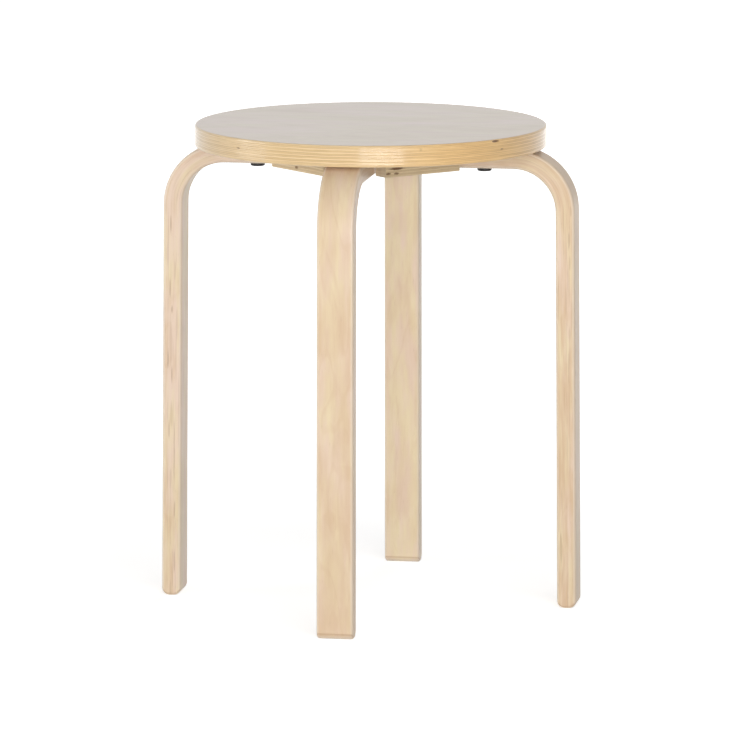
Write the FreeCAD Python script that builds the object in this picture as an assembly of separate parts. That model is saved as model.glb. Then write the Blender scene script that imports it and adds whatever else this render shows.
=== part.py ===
import FreeCAD, Part
import math
import os

# Stacking stool: a round plywood seat carried by four bent laminated legs.
# Sizes are in millimetres. +Z is up, the origin is on the floor under the middle of the seat,
# and the legs stand on the X and Y axes, with the front leg at -Y.

# Seat panel
seat_height = 450.0
seat_diameter = 327.0
seat_thickness = 20.0
seat_top_round = 2.0
seat_bottom_round = 1.5

# Bent leg: a level arm under the seat, one bend and a long shin down to the floor
leg_width = 34.0
leg_thickness = 18.0
leg_reach = 197.0  # from the stool's axis to the outer face, at the floor
leg_splay = 0.5  # degrees that the shin leans outwards
bend_inner_radius = 40.0
arm_end_distance = 27.0  # from the stool's axis to the inner end of the arm
arm_end_round = 3.0
foot_flat = 4.0  # width of the strip that the leg stands on, between its two rounded corners
leg_edge_round = 2.5

# Corner battens: plywood strips set square across the corners between the arms
batten_length = 84.0
batten_width = 16.0
batten_height = 19.0
batten_edge_round = 0.8
batten_arm_gap = 0.5  # at the two corners that lie nearest to the arms

# Leg bolts: M6, black, with a wide low head and a hexagon socket
outer_bolt_distance = 107.0  # from the stool's axis
inner_bolt_distance = 50.0
bolt_diameter = 6.0
bolt_hole_gap = 0.4
bolt_head_diameter = 13.5
bolt_head_height = 4.0
bolt_head_round = 1.4
bolt_tip_chamfer = 0.8
socket_across_flats = 4.0
socket_depth = 2.4

# Threaded inserts pressed up into the seat
insert_length = 13.0
insert_diameter = 9.0
insert_flange_diameter = 11.5
insert_flange_height = 1.0
insert_nose_chamfer = 1.0
insert_hole_spare_depth = 1.0
bolt_end_gap = 1.0

# Batten screws: countersunk wood screws
screw_spacing = 52.0
screw_diameter = 3.5
screw_head_diameter = 7.0
screw_head_rim = 0.4
screw_bite = 12.0  # depth that a screw goes into the seat
screw_tip_length = 5.0
screw_tip_diameter = 0.8
cross_slot_length = 4.2
cross_slot_width = 0.9
cross_slot_depth = 1.3

# Fit between a fastener and the hole that holds it
fastener_gap = 0.05

# Below this height or width, an edge counts as flat
flat_tolerance = 1e-6

# Heights and distances that follow from the sizes above
seat_underside = seat_height - seat_thickness
arm_underside = seat_underside - leg_thickness
batten_underside = seat_underside - batten_height
bend_outer_radius = bend_inner_radius + leg_thickness
foot_round = (leg_thickness - foot_flat) / 2
batten_inner_face = batten_length / 2 + (leg_width / 2 + batten_arm_gap) * math.sqrt(2)
bolt_engagement = insert_length - bolt_end_gap

# The sides in turn, a quarter turn apart from +X towards +Y, and the corner after each of them
sides = ("right", "back", "left", "front")
corners = ("back_right", "back_left", "front_left", "front_right")
up = FreeCAD.Vector(0, 0, 1)
centre = FreeCAD.Vector(0, 0, 0)


def point(x, z):
    return FreeCAD.Vector(x, 0, z)


def rounded_outline(outline):
    """A closed face in the XZ plane. Each point is (x, z, radius), and its round is tangent to both lines."""
    count = len(outline)
    starts = []
    ends = []
    middles = []
    for i, (x, z, radius) in enumerate(outline):
        here = point(x, z)
        before = point(*outline[i - 1][:2]) - here
        after = point(*outline[(i + 1) % count][:2]) - here
        half = before.getAngle(after) / 2
        before.normalize()
        after.normalize()
        setback = radius / math.tan(half)
        inward = before + after
        inward.normalize()
        starts.append(here + before * setback)
        ends.append(here + after * setback)
        middles.append(here + inward * (radius / math.sin(half) - radius))
    edges = []
    for i in range(count):
        if outline[i][2] > 0:
            edges.append(Part.Arc(starts[i], middles[i], ends[i]).toShape())
        edges.append(Part.LineSegment(ends[i], starts[(i + 1) % count]).toShape())
    return Part.Face(Part.Wire(edges))


def turned(outline):
    """A solid turned about the Z axis from an outline that touches it."""
    return rounded_outline(outline).revolve(centre, up, 360)


def side_edges(solid):
    """The edges that lie in a plane square to Y, which are the long edges of an extruded outline."""
    return [edge for edge in solid.Edges if edge.BoundBox.YLength < flat_tolerance]


def at_side(shape, i):
    """A copy of a shape that is made on the right side, turned to side i."""
    copy = shape.copy()
    copy.rotate(centre, up, 360 * i / len(sides))
    return copy


def at_corner(shape, i):
    """A copy of a shape that is made on the right side, turned to the corner after side i."""
    return at_side(shape, i + 0.5)


def moved(shape, x, y, z):
    """A copy of a shape, moved."""
    copy = shape.copy()
    copy.translate(FreeCAD.Vector(x, y, z))
    return copy


def insert_blank(gap=0.0, spare_depth=0.0):
    """The outside of a threaded insert, standing up from z = 0. With a gap it is the hole that holds one."""
    flange = insert_flange_diameter / 2 + gap
    body = insert_diameter / 2 + gap
    top = insert_length + spare_depth
    return turned([
        (0, 0, 0),
        (flange, 0, 0),
        (flange, insert_flange_height + gap, 0),
        (body, insert_flange_height + gap, 0),
        (body, top - insert_nose_chamfer, 0),
        (body - insert_nose_chamfer, top, 0),
        (0, top, 0),
    ])


def threaded_insert():
    bore = Part.makeCylinder(bolt_diameter / 2 + fastener_gap, insert_length)
    return insert_blank().cut(bore)


def leg_bolt():
    """A bolt that stands up from its head, whose bearing face is at z = 0."""
    head = bolt_head_diameter / 2
    shank = bolt_diameter / 2
    tip = leg_thickness + bolt_engagement
    bolt = turned([
        (0, -bolt_head_height, 0),
        (head, -bolt_head_height, bolt_head_round),
        (head, 0, 0),
        (shank, 0, 0),
        (shank, tip - bolt_tip_chamfer, 0),
        (shank - bolt_tip_chamfer, tip, 0),
        (0, tip, 0),
    ])
    across_corners = socket_across_flats / math.cos(math.radians(30))
    hexagon = [
        FreeCAD.Vector(
            across_corners / 2 * math.cos(math.radians(60 * i)),
            across_corners / 2 * math.sin(math.radians(60 * i)),
            -bolt_head_height,
        )
        for i in range(7)
    ]
    socket = Part.Face(Part.makePolygon(hexagon)).extrude(up * socket_depth)
    return bolt.cut(socket)


def screw_blank(gap=0.0):
    """The outside of a countersunk screw, head down at z = 0. With a gap it is the hole that holds one."""
    head = screw_head_diameter / 2 + gap
    shank = screw_diameter / 2 + gap
    tip = batten_height + screw_bite
    return turned([
        (0, 0, 0),
        (head, 0, 0),
        (head, screw_head_rim, 0),
        (shank, screw_head_rim + head - shank, 0),
        (shank, tip - screw_tip_length, 0),
        (screw_tip_diameter / 2 + gap, tip + gap, 0),
        (0, tip + gap, 0),
    ])


def batten_screw():
    screw = screw_blank()
    for length, width in ((cross_slot_length, cross_slot_width), (cross_slot_width, cross_slot_length)):
        slot = Part.makeBox(length, width, cross_slot_depth, FreeCAD.Vector(-length / 2, -width / 2, 0))
        screw = screw.cut(slot)
    return screw


def bolt_places():
    """Where the bolts of the right leg stand, as distances along +X."""
    return (inner_bolt_distance, outer_bolt_distance)


def screw_places():
    """Where the screws of the batten on the +X side stand, before it is turned to its corner."""
    middle = batten_inner_face + batten_width / 2
    return ((middle, -screw_spacing / 2), (middle, screw_spacing / 2))


def seat_panel():
    radius = seat_diameter / 2
    seat = turned([
        (0, seat_underside, 0),
        (radius, seat_underside, seat_bottom_round),
        (radius, seat_height, seat_top_round),
        (0, seat_height, 0),
    ])
    pocket = insert_blank(fastener_gap, insert_hole_spare_depth)
    pilot = screw_blank(fastener_gap)
    holes = []
    for i in range(len(sides)):
        holes += [at_side(moved(pocket, x, 0, seat_underside), i) for x in bolt_places()]
        holes += [at_corner(moved(pilot, x, y, batten_underside), i) for x, y in screw_places()]
    return seat.cut(holes)


def bent_leg():
    """The right leg. Its outline is a thick L in the XZ plane, bent round and carried across its width."""
    lean = math.tan(math.radians(leg_splay))
    thickness_level = leg_thickness / math.cos(math.radians(leg_splay))
    outer_corner = leg_reach - seat_underside * lean
    inner_foot = leg_reach - thickness_level
    inner_corner = inner_foot - arm_underside * lean
    outline = rounded_outline([
        (arm_end_distance, seat_underside, arm_end_round),
        (outer_corner, seat_underside, bend_outer_radius),
        (leg_reach, 0, foot_round),
        (inner_foot, 0, foot_round),
        (inner_corner, arm_underside, bend_inner_radius),
        (arm_end_distance, arm_underside, arm_end_round),
    ])
    leg = moved(outline, 0, -leg_width / 2, 0).extrude(FreeCAD.Vector(0, leg_width, 0))
    leg = leg.makeFillet(leg_edge_round, side_edges(leg))
    hole = Part.makeCylinder(bolt_diameter / 2 + bolt_hole_gap, leg_thickness)
    return leg.cut([moved(hole, x, 0, arm_underside) for x in bolt_places()])


def batten():
    """A batten lying across the +X direction, before it is turned to its corner between two arms."""
    low_corner = FreeCAD.Vector(batten_inner_face, -batten_length / 2, batten_underside)
    strip = Part.makeBox(batten_width, batten_length, batten_height, low_corner)
    lower_edges = [edge for edge in strip.Edges if edge.BoundBox.ZMax < seat_underside - flat_tolerance]
    strip = strip.makeFillet(batten_edge_round, lower_edges)
    hole = screw_blank(fastener_gap)
    return strip.cut([moved(hole, x, y, batten_underside) for x, y in screw_places()])


def save(name, solids):
    Part.makeCompound(solids).exportStep(f"parts/{name}.step")


def main():
    os.makedirs("parts", exist_ok=True)
    save("seat_panel", [seat_panel()])
    bolts = [moved(leg_bolt(), x, 0, arm_underside) for x in bolt_places()]
    inserts = [moved(threaded_insert(), x, 0, seat_underside) for x in bolt_places()]
    screws = [moved(batten_screw(), x, y, batten_underside) for x, y in screw_places()]
    for i, side in enumerate(sides):
        save(f"leg_{side}", [at_side(bent_leg(), i)])
        save(f"leg_bolts_{side}", [at_side(bolt, i) for bolt in bolts])
        save(f"seat_inserts_{side}", [at_side(insert, i) for insert in inserts])
    for i, corner in enumerate(corners):
        save(f"batten_{corner}", [at_corner(batten(), i)])
        save(f"batten_screws_{corner}", [at_corner(screw, i) for screw in screws])


main()
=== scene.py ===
import math
import bmesh
import bpy
import numpy as np
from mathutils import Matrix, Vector


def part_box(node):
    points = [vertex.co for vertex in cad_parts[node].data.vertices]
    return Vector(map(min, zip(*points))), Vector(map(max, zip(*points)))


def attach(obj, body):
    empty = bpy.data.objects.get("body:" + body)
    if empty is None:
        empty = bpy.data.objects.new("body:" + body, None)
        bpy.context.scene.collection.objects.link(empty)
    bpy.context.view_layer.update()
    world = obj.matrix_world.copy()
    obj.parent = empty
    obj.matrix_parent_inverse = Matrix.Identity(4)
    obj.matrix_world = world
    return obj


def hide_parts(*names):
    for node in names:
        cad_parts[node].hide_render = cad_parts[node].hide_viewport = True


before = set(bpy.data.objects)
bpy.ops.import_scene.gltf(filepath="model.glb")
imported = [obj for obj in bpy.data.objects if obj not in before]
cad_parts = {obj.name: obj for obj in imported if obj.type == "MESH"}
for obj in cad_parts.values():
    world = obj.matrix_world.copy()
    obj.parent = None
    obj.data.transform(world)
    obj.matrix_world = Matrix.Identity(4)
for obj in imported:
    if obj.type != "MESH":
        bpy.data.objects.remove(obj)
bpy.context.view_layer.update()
seatLow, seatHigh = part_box("seat_panel")
legLow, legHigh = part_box("leg_right")
battenLow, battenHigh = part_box("batten_front_right")

mm = 0.001
mergeDistance = 0.001 * mm
sides = ["right", "back", "left", "front"]
corners = ["back_right", "back_left", "front_left", "front_right"]
print("frame loaded:", len(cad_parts), "nodes")


# Small helpers for shader nodes

def newMaterial(name):
    material = bpy.data.materials.new(name)
    material.use_nodes = True
    material.node_tree.nodes.clear()
    return material, material.node_tree


def add(tree, kind, inputs=None, **settings):
    made = tree.nodes.new("ShaderNode" + kind)
    for key, value in settings.items():
        setattr(made, key, value)
    for key, value in (inputs or {}).items():
        if isinstance(value, bpy.types.NodeSocket):
            tree.links.new(value, made.inputs[key])
        else:
            made.inputs[key].default_value = value
    return made


def calc(tree, operation, a, b=0.0):
    return add(tree, "Math", {0: a, 1: b}, operation=operation).outputs[0]


def times(tree, a, b):
    return calc(tree, "MULTIPLY", a, b)


def total(tree, first, *others):
    for other in others:
        first = calc(tree, "ADD", first, other)
    return first


def swing(tree, pattern, size):
    # a pattern from 0 to 1, made to swing about zero
    return times(tree, calc(tree, "SUBTRACT", pattern, 0.5), size)


def ramp(tree, value, low, high, toLow=0.0, toHigh=1.0):
    # a soft step: toLow at low, toHigh at high, and flat past both; low may be the larger one
    inputs = {"Value": value, "From Min": low, "From Max": high, "To Min": toLow, "To Max": toHigh}
    return add(tree, "MapRange", inputs, interpolation_type="SMOOTHSTEP").outputs[0]


def mixColour(tree, factor, a, b, mode="MIX"):
    rgba = [value if isinstance(value, bpy.types.NodeSocket) else (*value, 1.0) for value in (a, b)]
    made = add(tree, "Mix", {0: factor, 6: rgba[0], 7: rgba[1]}, data_type="RGBA", blend_type=mode)
    return made.outputs[2]


def noise(tree, place, scale=1.0, detail=2.0, roughness=0.5, distortion=0.0):
    inputs = {"Vector": place, "Scale": scale, "Detail": detail}
    inputs.update({"Roughness": roughness, "Distortion": distortion})
    return add(tree, "TexNoise", inputs).outputs["Fac"]


def grainNoise(tree, place, scale, shift=(0.0, 0.0, 0.0), **settings):
    # noise drawn out along the grain; scale is its repeats in a metre along each axis
    stretched = add(tree, "Mapping", {"Vector": place, "Location": shift, "Scale": scale}).outputs[0]
    return noise(tree, stretched, **settings)


def parts(tree, place):
    # the X, Y and Z of a place, each by itself
    return add(tree, "SeparateXYZ", {0: place}).outputs


markEdge = (1.25, 0.55)  # where a mark has faded out and where it is whole, as shares of its half size


def woodMarks(tree, place, marks, ragged):
    # the strongest of several soft ellipsoids in the wood, each with its middle and half size in mm
    strongest = 0.0
    for middle, halfSize, strength in marks:
        centre = [v * mm for v in middle]
        half = [v * mm for v in halfSize]
        away = add(tree, "VectorMath", {0: place, 1: centre}, operation="SUBTRACT").outputs[0]
        away = add(tree, "VectorMath", {0: away, 1: half}, operation="DIVIDE").outputs[0]
        reach = add(tree, "VectorMath", {0: away}, operation="LENGTH").outputs["Value"]
        spot = ramp(tree, total(tree, reach, ragged), *markEdge, 0.0, strength)
        strongest = calc(tree, "MAXIMUM", strongest, spot)
    return strongest


def finishMaterial(tree, colour, roughness, height, bumpDepth, sockets=None):
    bump = add(tree, "Bump", {"Height": height, "Distance": bumpDepth, "Strength": 1.0})
    inputs = {"Base Color": colour, "Roughness": roughness, "Normal": bump.outputs[0], **(sockets or {})}
    surface = add(tree, "BsdfPrincipled", inputs)
    output = add(tree, "OutputMaterial")
    tree.links.new(surface.outputs[0], output.inputs[0])


# Meshes from arrays

def gridQuads(rows, columns, first=0, wrap=False):
    # quads of a grid of rows by columns points, whose last column joins the first when it wraps
    row = np.arange(rows - 1)[:, None]
    column = np.arange(columns if wrap else columns - 1)[None, :]
    after = (column + 1) % columns
    quads = np.stack([row * columns + column, row * columns + after,
                      (row + 1) * columns + after, (row + 1) * columns + column], -1)
    return first + quads.reshape(-1, 4)


def makePiece(name, points, quads, triangles=None, vectors=None, numbers=None):
    triangles = np.zeros((0, 3), int) if triangles is None else triangles
    mesh = bpy.data.meshes.new(name)
    cornerIndex = np.concatenate([quads.ravel(), triangles.ravel()])
    sizes = np.concatenate([np.full(len(quads), 4), np.full(len(triangles), 3)])
    mesh.vertices.add(len(points))
    mesh.vertices.foreach_set("co", points.ravel())
    mesh.loops.add(len(cornerIndex))
    mesh.loops.foreach_set("vertex_index", cornerIndex)
    mesh.polygons.add(len(sizes))
    mesh.polygons.foreach_set("loop_start", np.cumsum(sizes) - sizes)
    mesh.update(calc_edges=True)
    for key, values in (vectors or {}).items():
        mesh.attributes.new(key, "FLOAT_VECTOR", "POINT").data.foreach_set("vector", values.ravel())
    for key, values in (numbers or {}).items():
        mesh.attributes.new(key, "FLOAT", "POINT").data.foreach_set("value", values.ravel())
    shell = bmesh.new()
    shell.from_mesh(mesh)
    bmesh.ops.remove_doubles(shell, verts=shell.verts, dist=mergeDistance)
    bmesh.ops.recalc_face_normals(shell, faces=shell.faces)
    shell.to_mesh(mesh)
    shell.free()
    mesh.polygons.foreach_set("use_smooth", np.ones(len(mesh.polygons), bool))
    piece = bpy.data.objects.new(name, mesh)
    bpy.context.scene.collection.objects.link(piece)
    return piece


def smoothStep(x):
    x = np.clip(x, 0, 1)
    return x * x * (3 - 2 * x)


def grooves(place, spacing, halfWidth):
    # 1 at each whole number of place, where two plies are glued, falling off over the half width
    return np.exp(-((place - np.round(place)) * spacing / halfWidth) ** 2)


# Bent legs

legShape = {
    "width": legHigh.y - legLow.y,
    "thickness": 18 * mm,
    "reach": 197 * mm,
    "splay": 0.5,           # degrees that the shin leans out
    "bendInner": 40 * mm,
    "armStart": legLow.x,
    "armRound": 3 * mm,     # at both corners of the arm's inner end
    "footFlat": 4 * mm,     # strip that it stands on, between its two rounded corners
    "edgeRound": 2.5 * mm,
    "plies": 7,
    "along": 190,           # stations along the leg
    "through": 64,          # lines through its thickness
    "across": 12,           # rows across a broad face
    "roundRows": 7,         # rows round each eased edge
    "supportInset": 0.4 * mm,   # from each eased edge to the first row on the flat
    "plyRelief": 0.05 * mm,
    "grooveHalf": 0.3 * mm,
    "uneven": (2.3, 1.1),   # these two only choose which laminations stand back
    "reliefFade": (6, 40),  # the relief fades over a 6th of the half thickness and a 40th of the length
    "wave": 0.006,          # share of its thickness that sanding took in places
    "waves": ((61, 2.1), (113, 4.7)),   # each wave's radians in a metre and from one leg to the next
    "waveFade": 40 * mm,    # from each end
    "footShear": 30 * mm,   # stretch above the foot that squares its end to the floor
}


def legPath(s, t):
    # The leg straightened out is s along, t through. The arm is level, then the bend turns it about
    # one centre, then the shin runs down and leans out by the splay.
    half = legShape["thickness"] / 2
    lean = math.radians(legShape["splay"])
    middle = legShape["bendInner"] + half
    centreZ = seatLow.z - legShape["thickness"] - legShape["bendInner"]
    outer = legShape["bendInner"] + legShape["thickness"]
    centreX = legShape["reach"] - (outer + centreZ * math.sin(lean)) / math.cos(lean)
    armLength = centreX - legShape["armStart"]
    turn = math.pi / 2 - lean
    angle = np.clip((s - armLength) / middle, 0, turn)
    before = np.minimum(s - armLength, 0)
    after = np.maximum(s - armLength - middle * turn, 0)
    x = centreX + before + (middle + t) * np.sin(angle) + after * math.sin(lean)
    z = centreZ + (middle + t) * np.cos(angle) - after * math.cos(lean)
    shin = (centreZ + middle * math.sin(lean)) / math.cos(lean)
    return x, z, angle, armLength + middle * turn + shin


def legBlock():
    # A straight block with eased edges. Its outline in (s, t) is a rectangle whose four corners have
    # their own radii, and each row across the width is that outline drawn in by the eased edge.
    shape = legShape
    half = shape["thickness"] / 2
    length = legPath(np.zeros(1), np.zeros(1))[3]
    ease = shape["edgeRound"]
    footRound = (shape["thickness"] - shape["footFlat"]) / 2
    sweep = np.linspace(-math.pi / 2, math.pi / 2, shape["through"] + 1)
    station = np.linspace(0, 1, shape["along"])

    def endSetback(t, h, radius):
        # how far an end stands back at height t, where its corners are rounded to this radius
        past = np.clip(np.abs(t) - (h - radius), 0, radius)
        return radius - np.sqrt(radius**2 - past**2)

    def sheet(drawnIn):
        h = half - drawnIn
        t = h * np.sin(sweep)
        start = drawnIn + endSetback(t, h, shape["armRound"] - drawnIn)
        end = length - drawnIn - endSetback(t, h, footRound - drawnIn)
        s = start[None] + (end - start)[None] * station[:, None]
        return s, np.broadcast_to(t, s.shape)

    def loopOf(grid):
        return np.concatenate([grid[:-1, -1], grid[-1, :0:-1], grid[:0:-1, 0], grid[0, :-1]])

    flatHalf = shape["width"] / 2 - ease
    turnAngle = np.linspace(math.pi / 2, 0, shape["roundRows"])
    rows = [(-flatHalf - ease * math.sin(a), ease * (1 - math.cos(a))) for a in turnAngle]
    support = flatHalf - shape["supportInset"]
    rows += [(y, 0.0) for y in np.linspace(-support, support, shape["across"])]
    rows += [(-y, d) for y, d in reversed(rows[:shape["roundRows"]])]
    rings = []
    for y, drawnIn in rows:
        s, t = sheet(drawnIn)
        rings.append(np.stack([loopOf(s), np.full(loopOf(s).shape, y), loopOf(t)], -1))
    perRing = len(rings[0])
    points = [np.concatenate(rings)]
    quads = [gridQuads(len(rows), perRing, wrap=True)]
    first = len(rows) * perRing
    # the two sawn sides, where glue lines and some laminations stand back a little
    s, t = sheet(ease)
    plyPlace = (t + half) / shape["thickness"] * shape["plies"]
    groove = grooves(plyPlace, shape["thickness"] / shape["plies"], shape["grooveHalf"])
    rate, start = shape["uneven"]
    uneven = 0.5 + 0.5 * np.sin(rate * np.floor(plyPlace) ** 2 + start)
    fadeThrough, fadeAlong = shape["reliefFade"]
    fade = smoothStep((1 - np.abs(t) / (half - ease)) * fadeThrough)
    fade = fade * smoothStep(station[:, None] * fadeAlong) * smoothStep((1 - station[:, None]) * fadeAlong)
    relief = shape["plyRelief"] * fade * (groove + 0.5 * uneven)
    for way in (-1, 1):
        y = way * (shape["width"] / 2 - relief)
        points.append(np.stack([s, y, t], -1).reshape(-1, 3))
        quads.append(gridQuads(*s.shape, first=first))
        first += s.size
    return np.concatenate(points), np.concatenate(quads), length


def makeLeg(side, turns):
    # The block is thinned a little where sanding took more, squared at its foot, bent along the path
    # and turned to its side.
    shape = legShape
    wood, quads, length = legBlock()
    s, y, t = wood.T
    wave = 0.5 + 0.25 * sum(np.sin(s * rate + turns * onward) for rate, onward in shape["waves"])
    fade = smoothStep(s / shape["waveFade"]) * smoothStep((length - s) / shape["waveFade"])
    sanded = t * (1 - shape["wave"] * wave * fade)
    lean = math.tan(math.radians(shape["splay"]))
    squared = s + t * lean * smoothStep(1 - (length - s) / shape["footShear"])
    x, z, angle, _ = legPath(squared, sanded)
    quarter = math.pi / 2 * turns
    cos, sin = math.cos(quarter), math.sin(quarter)
    points = np.stack([x * cos - y * sin, x * sin + y * cos, z], -1)
    level = np.cos(angle)
    grain = np.stack([level * cos, level * sin, -np.sin(angle)], -1)
    piece = makePiece(f"leg_{side}_bent", points, quads, vectors={"wood": wood, "grain": grain})
    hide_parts(f"leg_{side}")
    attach(piece, "root")
    return piece


satinLacquer = {"Coat Weight": 0.15, "Coat Roughness": 0.34}

legWood = {
    "straw": (0.780, 0.655, 0.430),
    "rosy": (0.770, 0.602, 0.478),
    "warm": (0.640, 0.455, 0.285),
    # paler colour painted on the eased edges: a painted highlight where they catch the light
    "edge": (0.820, 0.710, 0.585),
    "fleck": (0.42, 0.26, 0.15),
    # end grain painted pale, which also paints in the light that the foot's rounded corners catch from the
    # floor
    "endGrain": (0.86, 0.76, 0.62),
    # painted light: each leg's colour is shifted by its own amount, evening out the uneven light that reaches
    # the four legs
    "perLegPaintedLight": {"right": 0.13, "back": -0.24, "left": -0.12, "front": 0.04},
    "ringTurns": 46.0,      # radians of growth rings over the figure's whole range
    "mottleShare": 0.95,    # how much each pattern warms the colour
    "fibreShare": 0.30,
    "ringShare": 0.10,
    "plyShare": 0.20,
    "streakShare": 0.35,
    "sawnStreaks": 0.80,    # what a sawn side adds to the streaks
    "edgeShare": 0.45,      # how much of its own colour each detail shows
    "glueShare": 0.46,
    "poreShare": 0.40,
    "turnShare": 0.40,
    "endShare": 0.70,
    "raggedness": 1.1,      # of the outlines of the marks
    "roughness": 0.31,
    "fibreRoughness": 0.14,
    "fibreHeight": 0.5,
    "bumpDepth": 0.05 * mm,
    "onward": (0.731, 0.217, 0.093),    # how far the patterns move on from one leg to the next
    "toneOnward": 9.7,      # and how far the tones of the laminations do
}

# repeats of each pattern in a metre along, across and through the wood
legGrain = {
    "figure": (5, 26, 26),
    "mottle": (15, 62, 62),
    "hue": (13, 70, 90),
    "fibre": (28, 1300, 1300),
    "pore": (120, 2100, 2100),
    "streak": (24, 250, 430),
    "dash": (26, 200, 420),
    "ragged": (90, 260, 700),
}

# where each detail starts and where it is whole
legSteps = {
    "rings": (0.45, 1.0),
    "hue": (0.36, 0.64),
    "warm": (0.25, 1.15),
    "pore": (0.66, 0.78),
    "dash": (0.47, 0.62),
    "glueLine": (0.12, 0.02),               # plies away from the line
    "inside": (0.4, 0.6),                   # plies in from a broad face, which is no glue line
    "sawn": (15.0 * mm, 16.8 * mm),         # out from the middle of the leg's width
    "easedAcross": (14.4 * mm, 15.4 * mm),
    "easedThrough": (6.2 * mm, 7.2 * mm),   # out from the middle of its thickness
    "turnStart": (0.10, 0.22),              # the turn and the end go by how squarely a face meets the grain
    "turnEnd": (0.44, 0.30),
    "end": (0.35, 0.95),
}

# broad tan figure in the faces of two legs: middle along, across and through the wood, half size, strength
legFigure = {
    "front": [
        ((378, 5, 9), (18, 7, 4), 0.32),
        ((370, 10, 9), (9, 4, 4), 0.48),
        ((445, -5, 9), (8, 6, 4), 0.44),
        ((500, 0, 9), (32, 14, 4), 0.30),
        ((541, -1, 9), (13, 6, 4), 0.62),
        ((566, 0, 9), (50, 22, 5), 0.42),
        ((284, -2, 9), (15, 15, 4), 0.18),
        ((205, 4, 9), (18, 14, 4), 0.10),
        ((318, 8, 9), (22, 9, 4), 0.16),
    ],
    "back": [
        ((226, 0, -9), (13, 11, 4), 0.20),
        ((480, -5, -9), (36, 12, 4), 0.26),
        ((310, 10, -9), (16, 5, 4), 0.18),
    ],
}

# brown marks in one sawn side of the other two: place along and through, half sizes, strength
sawnMarks = {
    "left": [
        (205, 1.6, 9, 0.6, 0.60), (265, 2.1, 10, 0.6, 0.62), (285, 0.2, 4, 0.8, 0.65),
        (331, 3.8, 10, 0.6, 0.70), (347, 0, 9, 0.7, 0.65), (422, -2.4, 30, 0.6, 0.50),
        (476, -2.8, 9, 0.7, 0.50), (232, 4.5, 14, 1.2, 0.22), (300, -4.5, 16, 0.9, 0.25),
        (524, -3.0, 12, 0.8, 0.40), (318, 1.0, 20, 1.5, 0.25), (385, 0.5, 14, 1.2, 0.28),
        (400, 2.5, 10, 0.8, 0.38), (448, 1.0, 12, 1.0, 0.30), (250, -2.5, 10, 0.6, 0.30),
        (560, 0.5, 16, 1.0, 0.30),
    ],
    "right": [
        (210, 3.8, 9, 1.1, 0.50), (184, 5.6, 5, 0.9, 0.35), (267, 0.8, 15, 0.7, 0.28),
        (298, 4.0, 8, 1.1, 0.30), (232, 4.6, 7, 0.8, 0.35), (500, -4.8, 16, 1.0, 0.45),
        (330, 3.2, 16, 0.8, 0.30), (248, 2.6, 18, 0.7, 0.30), (405, 1.5, 14, 0.7, 0.25),
    ],
}
sawnSide = {"left": 17, "right": -17}   # mm across the wood to the side that holds them
sawnDepth = 5   # mm that they reach in


def marksInSide(side):
    return [
        ((place, sawnSide[side], through), (halfLength, sawnDepth, halfHeight), strength)
        for place, through, halfLength, halfHeight, strength in sawnMarks.get(side, [])
    ]


def laminations(tree, wood, shift, turns):
    # a tone for each lamination, and a dark dash here and there where two of them are glued
    plies = legShape["plies"]
    perMetre = plies / legShape["thickness"] * 0.999  # just short, so both faces fall in the outer ones
    place = total(tree, times(tree, parts(tree, wood)[2], perMetre), plies / 2)
    number = total(tree, calc(tree, "FLOOR", place), turns * legWood["toneOnward"])
    tone = add(tree, "TexWhiteNoise", {"W": number}, noise_dimensions="1D").outputs[0]
    gap = calc(tree, "ABSOLUTE", calc(tree, "SUBTRACT", place, calc(tree, "ROUND", place)))
    fromMiddle = calc(tree, "ABSOLUTE", calc(tree, "SUBTRACT", place, plies / 2))
    inside = ramp(tree, fromMiddle, *[plies / 2 - depth for depth in legSteps["inside"]])
    dash = ramp(tree, grainNoise(tree, wood, legGrain["dash"], shift), *legSteps["dash"])
    line = times(tree, ramp(tree, gap, *legSteps["glueLine"]), times(tree, inside, dash))
    return tone, line


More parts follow.
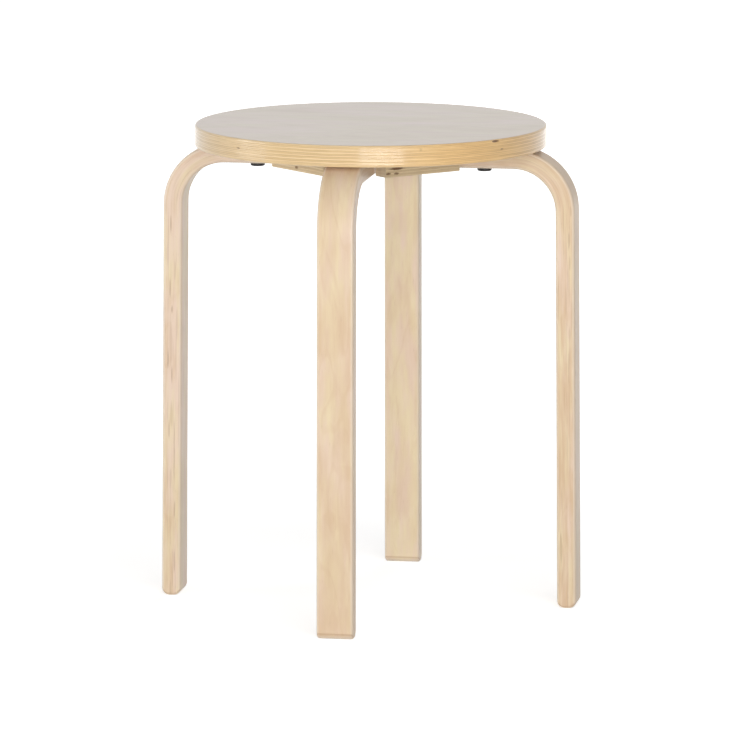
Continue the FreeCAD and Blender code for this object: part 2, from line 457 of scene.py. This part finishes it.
def legMaterial(side, turns):
    look, scale, steps = legWood, legGrain, legSteps
    material, tree = newMaterial(f"lacquered birch leg {side}")
    wood = add(tree, "Attribute", attribute_name="wood").outputs["Vector"]
    grain = add(tree, "Attribute", attribute_name="grain").outputs["Vector"]
    normal = add(tree, "NewGeometry").outputs["Normal"]
    shift = [turns * step for step in look["onward"]]
    figure = grainNoise(tree, wood, scale["figure"], shift, detail=3, distortion=0.8)
    rings = ramp(tree, calc(tree, "SINE", times(tree, figure, look["ringTurns"])), *steps["rings"])
    mottle = grainNoise(tree, wood, scale["mottle"], shift, detail=2.5, roughness=0.6)
    hue = grainNoise(tree, wood, scale["hue"], shift[::-1], detail=3, roughness=0.6)
    fibre = grainNoise(tree, wood, scale["fibre"], shift, detail=4, roughness=0.7)
    pore = grainNoise(tree, wood, scale["pore"], shift)
    streak = grainNoise(tree, wood, scale["streak"], shift, detail=2.5, roughness=0.6)
    tone, line = laminations(tree, wood, shift, turns)
    # the sawn sides show stronger streaks, and the eased edges are painted paler: a painted highlight where
    # they catch the light
    across, through = [calc(tree, "ABSOLUTE", part) for part in parts(tree, wood)[1:]]
    sawn = ramp(tree, across, *steps["sawn"])
    # where the painted highlight of the eased edges goes
    paintedEdgeHighlight = ramp(tree, across, *steps["easedAcross"])
    paintedEdgeHighlight = times(tree, paintedEdgeHighlight, ramp(tree, through, *steps["easedThrough"]))
    # a thin brown line where a face turns into its rounded end, and end grain past it, painted pale: painted
    # light that the foot's rounded corners catch from the floor
    squareTo = add(tree, "VectorMath", {0: normal, 1: grain}, operation="DOT_PRODUCT").outputs["Value"]
    squareTo = calc(tree, "ABSOLUTE", squareTo)
    turnLine = times(tree, ramp(tree, squareTo, *steps["turnStart"]), ramp(tree, squareTo, *steps["turnEnd"]))
    endGrainAndPaintedLight = ramp(tree, squareTo, *steps["end"])
    ragged = swing(tree, grainNoise(tree, wood, scale["ragged"], detail=3), look["raggedness"])
    broad = woodMarks(tree, wood, legFigure.get(side, []), ragged)
    marks = woodMarks(tree, wood, marksInSide(side), ragged)
    # colour, from the drift of hue and the broad figure down to the pores
    amount = total(
        tree,
        times(tree, mottle, look["mottleShare"]),
        times(tree, fibre, look["fibreShare"]),
        # painted light: each leg's own colour shift
        look["perLegPaintedLight"][side],
        times(tree, rings, look["ringShare"]),
        swing(tree, tone, look["plyShare"]),
        swing(tree, streak, total(tree, look["streakShare"], times(tree, sawn, look["sawnStreaks"]))),
    )
    colour = mixColour(tree, ramp(tree, hue, *steps["hue"]), look["rosy"], look["straw"])
    colour = mixColour(tree, ramp(tree, amount, *steps["warm"]), colour, look["warm"])
    colour = mixColour(tree, broad, colour, look["warm"])
    # painted highlight along the eased edges
    colour = mixColour(tree, times(tree, paintedEdgeHighlight, look["edgeShare"]), colour, look["edge"])
    fleck = times(tree, ramp(tree, pore, *steps["pore"]), look["poreShare"])
    brown = calc(tree, "MAXIMUM", times(tree, line, look["glueShare"]), calc(tree, "MAXIMUM", fleck, marks))
    colour = mixColour(tree, brown, colour, look["fleck"])
    colour = mixColour(tree, times(tree, turnLine, look["turnShare"]), colour, look["fleck"])
    colour = mixColour(tree, times(tree, endGrainAndPaintedLight, look["endShare"]), colour, look["endGrain"])
    roughness = total(tree, times(tree, fibre, look["fibreRoughness"]), look["roughness"])
    height = calc(tree, "SUBTRACT", times(tree, fibre, look["fibreHeight"]), total(tree, line, fleck))
    finishMaterial(tree, colour, roughness, height, look["bumpDepth"], satinLacquer)
    return material


for turns, side in enumerate(sides):
    leg = makeLeg(side, turns)
    leg.data.materials.append(legMaterial(side, turns))
print("legs made")


# Seat

seatShape = {
    "radius": seatHigh.x,
    "top": seatHigh.z,
    "under": seatLow.z,
    "topRound": 2 * mm,
    "underRound": 1.5 * mm,
    "plies": 13,
    "columns": 900,
    "rimRows": 66,
    "roundRows": 9,
    "faceRings": 14,
    "ringCrowding": 0.8,        # under 1 crowds the face's rings towards the rim
    "lastRing": 0.5 * mm,       # from the face's last ring to the start of the round
    "plyRelief": 0.05 * mm,
    "grooveHalf": 0.25 * mm,
    "longGrainRelief": 0.7,     # share of the relief that long grain stands back, being softer
    "reliefStart": 1.0 * mm,    # in from the rim, where the relief starts
    "reliefFade": 0.8 * mm,     # the width over which it grows
    "faceFade": 1.2 * mm,       # the width over which the face's look gives way to the rim's
    "hollowEdge": 1.15,         # a hollow starts where its shares of half size, squared, add up to this
    "hollowWall": 0.35,         # and is at its full depth where they add up to this much less
    "waver": ((0.18, 900), (0.12, 1700)),   # of a hollow's height: share, and radians for each radian round
}

# gaps in the inner plies that show at the rim, shallow pockets painted dark with painted shade for their
# depth: degrees round from +X, drop from the top, length, height and depth in mm, and how dark it is
rimHollows = [
    (-36.0, 1.7, 9.0, 1.7, 1.3, 0.95),
    (-33.2, 9.6, 3.6, 1.3, 0.5, 0.70),
    (-128.3, 8.9, 4.4, 1.3, 0.4, 0.60),
    (-64.3, 4.4, 2.8, 3.0, 0.05, 0.22),
    (74.0, 8.3, 7.0, 1.1, 0.9, 0.85),
    (151.0, 13.0, 4.5, 1.0, 0.6, 0.60),
]


def seatProfile():
    # the turned outline from the middle of the top, over the rim, to the middle of the underside
    shape = seatShape
    radius, top, under = shape["radius"], shape["top"], shape["under"]
    upper, lower = shape["topRound"], shape["underRound"]
    angle = np.linspace(math.pi / 2, 0, shape["roundRows"])
    faceEnd = radius - upper
    rings = np.linspace(0, 1, shape["faceRings"])[1:] ** shape["ringCrowding"]
    topRings = rings * (faceEnd - shape["lastRing"])
    topArc = np.stack([faceEnd + upper * np.cos(angle), top - upper + upper * np.sin(angle)], -1)
    rim = np.linspace(top - upper, under + lower, shape["rimRows"])[1:-1]
    underEnd = radius - lower
    fall = -angle[::-1]
    underArc = np.stack([underEnd + lower * np.cos(fall), under + lower + lower * np.sin(fall)], -1)
    underRings = rings[::-1] * (underEnd - shape["lastRing"])
    return np.concatenate([
        np.stack([topRings, np.full(len(topRings), top)], -1),
        topArc,
        np.stack([np.full(len(rim), radius), rim], -1),
        underArc,
        np.stack([underRings, np.full(len(underRings), under)], -1),
    ])


def rimRelief(turn, radius, z):
    # how far each point of the rim is drawn in: at glue lines, a little where a ply shows its softer long
    # grain, and most in the hollows; and how dark the hollows are, in painted shade for their depth
    shape = seatShape
    thickness = shape["top"] - shape["under"]
    place = (z - shape["under"]) / thickness * shape["plies"]
    groove = grooves(place, thickness / shape["plies"], shape["grooveHalf"])
    odd = np.floor(place) % 2   # the odd plies run along Y, so they show long grain where the rim faces X
    longGrain = np.where(odd > 0.5, np.cos(turn) ** 2, np.sin(turn) ** 2)
    nearRim = smoothStep((radius - shape["radius"] + shape["reliefStart"]) / shape["reliefFade"])
    drawnIn = shape["plyRelief"] * nearRim * (groove + shape["longGrainRelief"] * longGrain)
    onRim = radius > 0.9 * shape["radius"]
    (big, bigRate), (small, smallRate) = shape["waver"]
    dark = 0 * radius
    for degrees, drop, length, height, depth, darkness in rimHollows:
        away = (turn - math.radians(degrees) + math.pi) % (2 * math.pi) - math.pi
        ragged = 1 + big * np.sin(away * bigRate + degrees) + small * np.sin(away * smallRate)
        inEllipse = (away * shape["radius"] / (length / 2 * mm)) ** 2
        inEllipse = inEllipse + ((z - shape["top"] + drop * mm) / (height / 2 * mm) / ragged) ** 2
        pocket = smoothStep((shape["hollowEdge"] - inEllipse) / shape["hollowWall"])
        drawnIn = drawnIn + depth * mm * pocket * onRim
        # painted shade inside each hollow
        dark = np.maximum(dark, pocket * darkness)
    return drawnIn, dark


def makeSeat():
    # each profile point is carried round the axis, and then drawn in by the rim's relief
    shape = seatShape
    profile = seatProfile()
    turn = np.linspace(-math.pi, math.pi, shape["columns"], endpoint=False)[None]
    radius = profile[:, :1] + 0 * turn
    z = profile[:, 1:] + 0 * turn
    face = 1 - smoothStep((radius - shape["radius"] + shape["topRound"]) / shape["faceFade"])
    drawnIn, dark = rimRelief(turn, radius, z)
    radius = radius - drawnIn
    points = np.stack([radius * np.cos(turn), radius * np.sin(turn), z], -1).reshape(-1, 3)
    rows, columns = radius.shape
    quads = gridQuads(rows, columns, wrap=True)
    middles = np.array([[0, 0, shape["top"]], [0, 0, shape["under"]]])
    column = np.arange(columns)
    after = (column + 1) % columns
    topFan = np.stack([column, after, np.full(columns, rows * columns)], -1)
    lastRow = (rows - 1) * columns
    underFan = np.stack([lastRow + after, lastRow + column, np.full(columns, rows * columns + 1)], -1)
    piece = makePiece(
        "seat_plywood_round",
        np.concatenate([points, middles]),
        quads,
        np.concatenate([topFan, underFan]),
        numbers={"hollow": np.append(dark.ravel(), [0, 0]), "face": np.append(face.ravel(), [1, 1])},
    )
    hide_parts("seat_panel")
    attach(piece, "root")
    return piece


seatWood = {
    "faceStraw": (0.765, 0.628, 0.440),
    "faceRosy": (0.775, 0.592, 0.488),
    "faceWarm": (0.665, 0.512, 0.372),
    "faceFleck": (0.50, 0.36, 0.25),
    "longGrain": (0.760, 0.560, 0.300),
    "endGrain": (0.590, 0.395, 0.170),
    "glue": (0.34, 0.19, 0.08),
    # painted shade: the colour of the shade inside the rim's hollows
    "hollow": (0.15, 0.075, 0.035),
    # painted light: the rim is tinted yellower towards +X, where less white sheen falls on it
    "rimSidePaintedLight": (1.13, 1.01, 0.80),   # tint of the rim on its +X side
    "ringTurns": 60.0,              # radians of growth rings over the figure's whole range
    "mottleShare": 0.75,            # how much each pattern warms the face's colour
    "fibreShare": 0.28,
    "ringShare": 0.08,
    "poreShare": 0.40,
    "roughness": 0.32,
    "mottleRoughness": 0.16,
    "hollowRoughness": 0.40,
    "fibreHeight": 0.4,
    "bumpDepth": 0.05 * mm,
    "rimCoat": 0.90,                # the rim is glossier than the face
    "faceCoat": 0.57,
    "coatRoughness": 0.12,
}

# repeats of each pattern in a metre along X, Y and Z: the face veneer's grain runs along X, and hue is
# moved away from mottle
seatGrain = {
    "figure": (4, 15, 1),
    "mottle": (11, 34, 1),
    "hue": (9, 30, 1),
    "hueShift": (0.3, 0.1, 0),
    "fibre": (34, 1500, 1),
    "pore": (110, 2300, 1),
}

# where each detail starts and where it is whole
seatSteps = {
    "rimSidePaintedLight": (-20 * mm, 120 * mm),     # along X
    "hue": (0.36, 0.64),
    "warm": (0.25, 1.05),
    "pore": (0.68, 0.80),
}

# the sawn edge of plywood, on the seat's rim and on the battens
sawnPly = {
    "dash": (38, 38, 600),          # repeats of each pattern in a metre along X, Y and Z
    "streak": (42, 42, 1500),
    "speck": (1400, 1400, 1400),
    "dashSteps": (0.34, 0.58),
    "lineSteps": (0.20, 0.05),      # plies away from a glue line
    "endShare": 0.55,               # how much each pattern brings out the end grain's colour
    "toneShare": 0.30,
    "streakShare": 0.90,
    "speckShare": 0.35,
    "glueShare": 0.60,
    "streakHeight": 0.60,
}


def plyPattern(tree, place, look, plies, thickness, underside, side):
    # colour and height of sawn plywood: plies lie flat, and each shows long grain or end grain by how
    # squarely the cut meets it; side is 1 where the even plies show end grain and 0 where the odd ones do
    saw = sawnPly
    level = times(tree, calc(tree, "SUBTRACT", parts(tree, place)[2], underside), plies / thickness)
    ply = calc(tree, "FLOOR", level)
    odd = calc(tree, "MODULO", ply, 2.0)
    tone = add(tree, "TexWhiteNoise", {"W": ply}, noise_dimensions="1D").outputs[0]
    gap = calc(tree, "ABSOLUTE", calc(tree, "SUBTRACT", level, calc(tree, "ROUND", level)))
    dash = ramp(tree, grainNoise(tree, place, saw["dash"]), *saw["dashSteps"])
    line = times(tree, ramp(tree, gap, *saw["lineSteps"]), dash)
    endness = calc(tree, "ABSOLUTE", calc(tree, "SUBTRACT", odd, side))
    streak = grainNoise(tree, place, saw["streak"], detail=3, roughness=0.65)
    speck = grainNoise(tree, place, saw["speck"])
    amount = total(
        tree,
        times(tree, endness, saw["endShare"]),
        times(tree, tone, saw["toneShare"]),
        swing(tree, streak, saw["streakShare"]),
        swing(tree, speck, saw["speckShare"]),
    )
    colour = mixColour(tree, ramp(tree, amount, 0.0, 1.0), look["longGrain"], look["endGrain"])
    colour = mixColour(tree, times(tree, line, saw["glueShare"]), colour, look["glue"])
    height = calc(tree, "SUBTRACT", times(tree, streak, saw["streakHeight"]), line)
    return colour, height


def faceVeneer(tree, place):
    # colour, height and mottle of the face veneer
    look, scale, steps = seatWood, seatGrain, seatSteps
    figure = grainNoise(tree, place, scale["figure"], detail=3, distortion=1.0)
    rings = calc(tree, "SINE", times(tree, figure, look["ringTurns"]))
    mottle = grainNoise(tree, place, scale["mottle"], detail=4, roughness=0.6)
    fibre = grainNoise(tree, place, scale["fibre"], detail=4, roughness=0.7)
    pore = grainNoise(tree, place, scale["pore"])
    hue = grainNoise(tree, place, scale["hue"], scale["hueShift"], detail=3, roughness=0.6)
    amount = total(
        tree,
        times(tree, mottle, look["mottleShare"]),
        times(tree, fibre, look["fibreShare"]),
        times(tree, rings, look["ringShare"]),
    )
    colour = mixColour(tree, ramp(tree, hue, *steps["hue"]), look["faceRosy"], look["faceStraw"])
    colour = mixColour(tree, ramp(tree, amount, *steps["warm"]), colour, look["faceWarm"])
    fleck = times(tree, ramp(tree, pore, *steps["pore"]), look["poreShare"])
    colour = mixColour(tree, fleck, colour, look["faceFleck"])
    height = calc(tree, "SUBTRACT", times(tree, fibre, look["fibreHeight"]), fleck)
    return colour, height, mottle


def seatMaterial():
    look = seatWood
    shape = seatShape
    material, tree = newMaterial("lacquered birch plywood seat")
    place = add(tree, "TexCoord").outputs["Object"]
    face = add(tree, "Attribute", attribute_name="face").outputs["Fac"]
    hollow = add(tree, "Attribute", attribute_name="hollow").outputs["Fac"]
    x, y = parts(tree, place)[:2]
    # the even plies run along X, so they show end grain where the rim faces X
    side = calc(tree, "POWER", calc(tree, "ABSOLUTE", calc(tree, "DIVIDE", y, shape["radius"])), 2.0)
    side = calc(tree, "SUBTRACT", 1.0, side)
    thickness = shape["top"] - shape["under"]
    rimColour, rimHeight = plyPattern(tree, place, look, shape["plies"], thickness, shape["under"], side)
    # painted light: the rim's +X side is tinted yellower, where less white sheen falls
    rimSidePaintedLight = ramp(tree, x, *seatSteps["rimSidePaintedLight"])
    rimColour = mixColour(tree, rimSidePaintedLight, rimColour, look["rimSidePaintedLight"], "MULTIPLY")
    faceColour, faceHeight, mottle = faceVeneer(tree, place)
    colour = mixColour(tree, face, rimColour, faceColour)
    # painted shade in the rim's hollows
    colour = mixColour(tree, hollow, colour, look["hollow"])
    onRim = calc(tree, "SUBTRACT", 1.0, face)
    height = total(tree, times(tree, faceHeight, face), times(tree, rimHeight, onRim))
    roughness = total(
        tree,
        times(tree, mottle, look["mottleRoughness"]),
        look["roughness"],
        times(tree, hollow, look["hollowRoughness"]),
    )
    coat = ramp(tree, face, 0.0, 1.0, look["rimCoat"], look["faceCoat"])
    lacquer = {"Coat Weight": coat, "Coat Roughness": look["coatRoughness"]}
    finishMaterial(tree, colour, roughness, height, look["bumpDepth"], lacquer)
    return material


seat = makeSeat()
seat.data.materials.append(seatMaterial())
print("seat made")


# Corner battens, which keep their construction meshes

battenWood = {
    "longGrain": (0.770, 0.625, 0.405),
    "endGrain": (0.600, 0.455, 0.270),
    # paler colour of the short ends: painted light on faces that the leg arms beside them shade
    "shortEndPaintedLight": (0.880, 0.770, 0.600),
    "glue": (0.44, 0.30, 0.17),
    # colour of the gaps and knots: the knots' own dark colour, and painted shade inside the gaps
    "hollow": (0.16, 0.080, 0.035),
    "plies": 13,
    "width": 16 * mm,
    "shortEndLightShare": 0.5,
    "shortEndSteps": (0.3, 0.8),    # by how squarely a face looks along the batten
    "sawMarks": (260, 620, 18),     # repeats in a metre: they stand upright across the cut faces
    "sawSteps": (0.45, 0.75),
    "sawShare": 0.22,
    "raggedScale": 700.0,           # of the outlines of the gaps and knots
    "raggedness": 0.9,
    "hollowHeight": 4.0,            # how far a gap sinks beside the saw marks
    "roughness": 0.52,
    "sawRoughness": 0.20,
    "bumpDepth": 0.08 * mm,
}

# gaps and knots in each batten's outer face, the gaps painted dark with painted shade: middle out from the
# face, along and up from the underside, half size, strength
battenMarks = {
    "front_right": [
        ((0, -29.5, 7.8), (2, 8, 1.4), 0.95),
        ((0, -39.0, 3.6), (2, 2.7, 1.1), 0.85),
        ((0, -29.8, 3.2), (2, 2.9, 1.1), 0.80),
        ((0, 24.0, 12.5), (2, 5, 0.9), 0.45),
    ],
    "front_left": [((0, -1.8, 3.8), (2, 2.6, 1.3), 0.80), ((0, 22.0, 11.0), (2, 5, 0.8), 0.50)],
    "back_right": [((0, 12.0, 6.0), (2, 5, 1.0), 0.75)],
    "back_left": [((0, -18.0, 9.0), (2, 4, 0.9), 0.75)],
}


def battenMaterial(corner, turns):
    look = battenWood
    material, tree = newMaterial(f"sawn plywood batten {corner}")
    here = add(tree, "TexCoord").outputs["Object"]
    normal = add(tree, "NewGeometry").outputs["Normal"]
    # turned so that X points out from the stool's axis, and Y along the batten
    turn = (0, 0, -math.radians(45 + 90 * turns))
    place = add(tree, "Mapping", {"Vector": here, "Rotation": turn}).outputs[0]
    facing = add(tree, "Mapping", {"Vector": normal, "Rotation": turn}).outputs[0]
    side = ramp(tree, calc(tree, "ABSOLUTE", parts(tree, facing)[1]), *look["shortEndSteps"])
    height = battenHigh.z - battenLow.z
    colour, relief = plyPattern(tree, place, look, look["plies"], height, battenLow.z, side)
    # painted light: the short ends are painted paler, although the leg arms beside them shade them
    colour = mixColour(tree, times(tree, side, look["shortEndLightShare"]), colour, look["shortEndPaintedLight"])
    saw = grainNoise(tree, place, look["sawMarks"])
    darker = ramp(tree, saw, *look["sawSteps"], 0.0, look["sawShare"])
    colour = mixColour(tree, darker, colour, look["endGrain"])
    ragged = swing(tree, noise(tree, place, look["raggedScale"]), look["raggedness"])
    outerFace = (math.sqrt(2) * (battenHigh.x + battenLow.x) + look["width"]) / 2
    faceFoot = (outerFace, 0, battenLow.z)
    fromFace = add(tree, "VectorMath", {0: place, 1: faceFoot}, operation="SUBTRACT").outputs[0]
    # painted shade in the gaps, and the knots' own dark colour
    dark = woodMarks(tree, fromFace, battenMarks[corner], ragged)
    colour = mixColour(tree, dark, colour, look["hollow"])
    relief = calc(tree, "SUBTRACT", total(tree, relief, saw), times(tree, dark, look["hollowHeight"]))
    roughness = total(tree, times(tree, saw, look["sawRoughness"]), look["roughness"])
    finishMaterial(tree, colour, roughness, relief, look["bumpDepth"])
    return material


def dress(node, material):
    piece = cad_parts[node]
    if not piece.material_slots:
        piece.data.materials.append(material)
    for slot in piece.material_slots:
        slot.material = material


for turns, corner in enumerate(corners):
    dress(f"batten_{corner}", battenMaterial(corner, turns))
print("battens dressed")


# Bolts, inserts and screws

metalLooks = {
    "black": {
        "colour": (0.014, 0.013, 0.013),
        "worn": (0.045, 0.040, 0.037),
        "roughness": 0.34,
        "metallic": 0.35,
    },
    "zinc": {
        "colour": (0.70, 0.69, 0.66),
        "worn": (0.52, 0.49, 0.43),
        "roughness": 0.22,
        "metallic": 1.0,
    },
}

metalSurface = {
    "cloud": 420.0,                 # repeats of each pattern in a metre
    "grit": 5200.0,
    "scratch": (4000, 260, 900),
    "cloudShare": 0.6,              # how much each pattern brings out the worn colour
    "scratchShare": 0.4,
    "wornSteps": (0.45, 0.70),
    "cloudRoughness": 0.22,
    "scratchHeight": 0.6,
    "bumpDepth": 0.012 * mm,
}


def metalMaterial(name, look):
    surface = metalSurface
    material, tree = newMaterial(name)
    place = add(tree, "TexCoord").outputs["Object"]
    cloud = noise(tree, place, surface["cloud"], detail=3)
    grit = noise(tree, place, surface["grit"])
    scratch = grainNoise(tree, place, surface["scratch"])
    shares = (times(tree, cloud, surface["cloudShare"]), times(tree, scratch, surface["scratchShare"]))
    worn = ramp(tree, total(tree, *shares), *surface["wornSteps"])
    colour = mixColour(tree, worn, look["colour"], look["worn"])
    roughness = total(tree, times(tree, cloud, surface["cloudRoughness"]), look["roughness"])
    height = total(tree, grit, times(tree, scratch, surface["scratchHeight"]))
    finishMaterial(tree, colour, roughness, height, surface["bumpDepth"], {"Metallic": look["metallic"]})
    return material


blackSteel = metalMaterial("blackened steel", metalLooks["black"])
zincSteel = metalMaterial("zinc plated steel", metalLooks["zinc"])
for side in sides:
    dress(f"leg_bolts_{side}", blackSteel)
    dress(f"seat_inserts_{side}", zincSteel)
for corner in corners:
    dress(f"batten_screws_{corner}", zincSteel)
print("metal dressed")


# Floor, light and camera

studio = {
    "floorSize": 24.0,
    "floorSeen": 0.85,              # floor colour that the camera sees
    "floorGlow": (0.64, 0.86),      # added for the camera, near the stool and far from it, to end up white
    "floorGlowReach": (0.25, 0.9),  # metres from the stool's axis between the two
    "floorBounce": 0.75,            # floor colour for the light that it sends up
    "skyLight": 0.12,               # level of the world's light on the object
    "aim": (0.0, 0.0, 0.25),
}

# soft boxes: place, width, height, power in watts, and whether gloss shows them
softBoxes = {
    "key": ((-2.1, -4.3, 0.80), 3.4, 1.3, 63.0, False),
    "side": ((-4.5, -1.3, 0.90), 2.0, 1.4, 50.0, True),
    "front": ((1.35, -4.6, 0.70), 2.4, 1.2, 82.0, True),
    "high": ((2.0, -3.3, 2.80), 3.6, 2.4, 58.0, False),
    "back": ((0.8, 4.5, 1.80), 3.0, 2.0, 62.0, False),
}


def seenDirectly(tree):
    # 1 for what the camera sees, in gloss too, and 0 for the light that a surface sends on
    path = add(tree, "LightPath").outputs
    mirrored = calc(tree, "MAXIMUM", path["Is Glossy Ray"], path["Is Transmission Ray"])
    return calc(tree, "MAXIMUM", path["Is Camera Ray"], mirrored)


def makeFloor():
    half = studio["floorSize"] / 2
    corner = np.array([[-half, -half, 0], [half, -half, 0], [half, half, 0], [-half, half, 0]])
    floor = makePiece("studio_floor", corner, np.array([[0, 1, 2, 3]]))
    material, tree = newMaterial("pale floor")
    seen = seenDirectly(tree)
    shade = ramp(tree, seen, 0.0, 1.0, studio["floorBounce"], studio["floorSeen"])
    matt = add(tree, "BsdfDiffuse", {"Color": shade})
    here = add(tree, "TexCoord").outputs["Object"]
    away = add(tree, "VectorMath", {0: here}, operation="LENGTH").outputs["Value"]
    glow = ramp(tree, away, *studio["floorGlowReach"], *studio["floorGlow"])
    light = add(tree, "Emission", {"Strength": times(tree, seen, glow)})
    both = add(tree, "AddShader", {0: matt.outputs[0], 1: light.outputs[0]})
    output = add(tree, "OutputMaterial")
    tree.links.new(both.outputs[0], output.inputs[0])
    floor.data.materials.append(material)


def makeWorld():
    world = bpy.data.worlds.new("studio")
    world.use_nodes = True
    tree = world.node_tree
    tree.nodes.clear()
    strength = ramp(tree, seenDirectly(tree), 0.0, 1.0, studio["skyLight"], 1.0)
    sky = add(tree, "Background", {"Color": (1, 1, 1, 1), "Strength": strength})
    output = add(tree, "OutputWorld")
    tree.links.new(sky.outputs[0], output.inputs[0])
    bpy.context.scene.world = world


def makeSoftBox(name, place, width, height, power, inGloss):
    lamp = bpy.data.lights.new(name, "AREA")
    lamp.shape = "RECTANGLE"
    lamp.size = width
    lamp.size_y = height
    lamp.energy = power
    holder = bpy.data.objects.new(name, lamp)
    holder.location = place
    holder.visible_camera = False
    holder.visible_glossy = inGloss
    holder.rotation_euler = (Vector(studio["aim"]) - Vector(place)).to_track_quat("-Z", "Y").to_euler()
    bpy.context.scene.collection.objects.link(holder)


viewpoint = {
    "distance": 6.209,
    "elevation": 9.32,
    "azimuth": 9.66,        # degrees that the camera stands to the right of the front leg
    "aimHeight": 222.3 * mm,
    "aimLeft": 5.4 * mm,    # the stool stands this much right of the middle of the picture
    "focalPixels": 6642.0,
    "imagePixels": 730.0,
    "sensor": 36.0,
    "clipEnd": 100.0,
}


def makeCamera():
    azimuth = math.radians(viewpoint["azimuth"])
    elevation = math.radians(viewpoint["elevation"])
    back = Vector((
        math.sin(azimuth) * math.cos(elevation),
        -math.cos(azimuth) * math.cos(elevation),
        math.sin(elevation),
    ))
    right = Vector((math.cos(azimuth), math.sin(azimuth), 0))
    centre = Vector((0, 0, viewpoint["aimHeight"]))
    data = bpy.data.cameras.new("camera")
    data.sensor_width = viewpoint["sensor"]
    data.lens = viewpoint["focalPixels"] * viewpoint["sensor"] / viewpoint["imagePixels"]
    data.clip_end = viewpoint["clipEnd"]
    camera = bpy.data.objects.new("camera", data)
    camera.location = centre + back * viewpoint["distance"]
    aim = centre - right * viewpoint["aimLeft"]
    camera.rotation_euler = (aim - camera.location).to_track_quat("-Z", "Y").to_euler()
    bpy.context.scene.collection.objects.link(camera)
    bpy.context.scene.camera = camera


makeFloor()
makeWorld()
for name, settings in softBoxes.items():
    makeSoftBox(name, *settings)
makeCamera()
bpy.context.scene.view_settings.view_transform = "Standard"
print("studio ready")
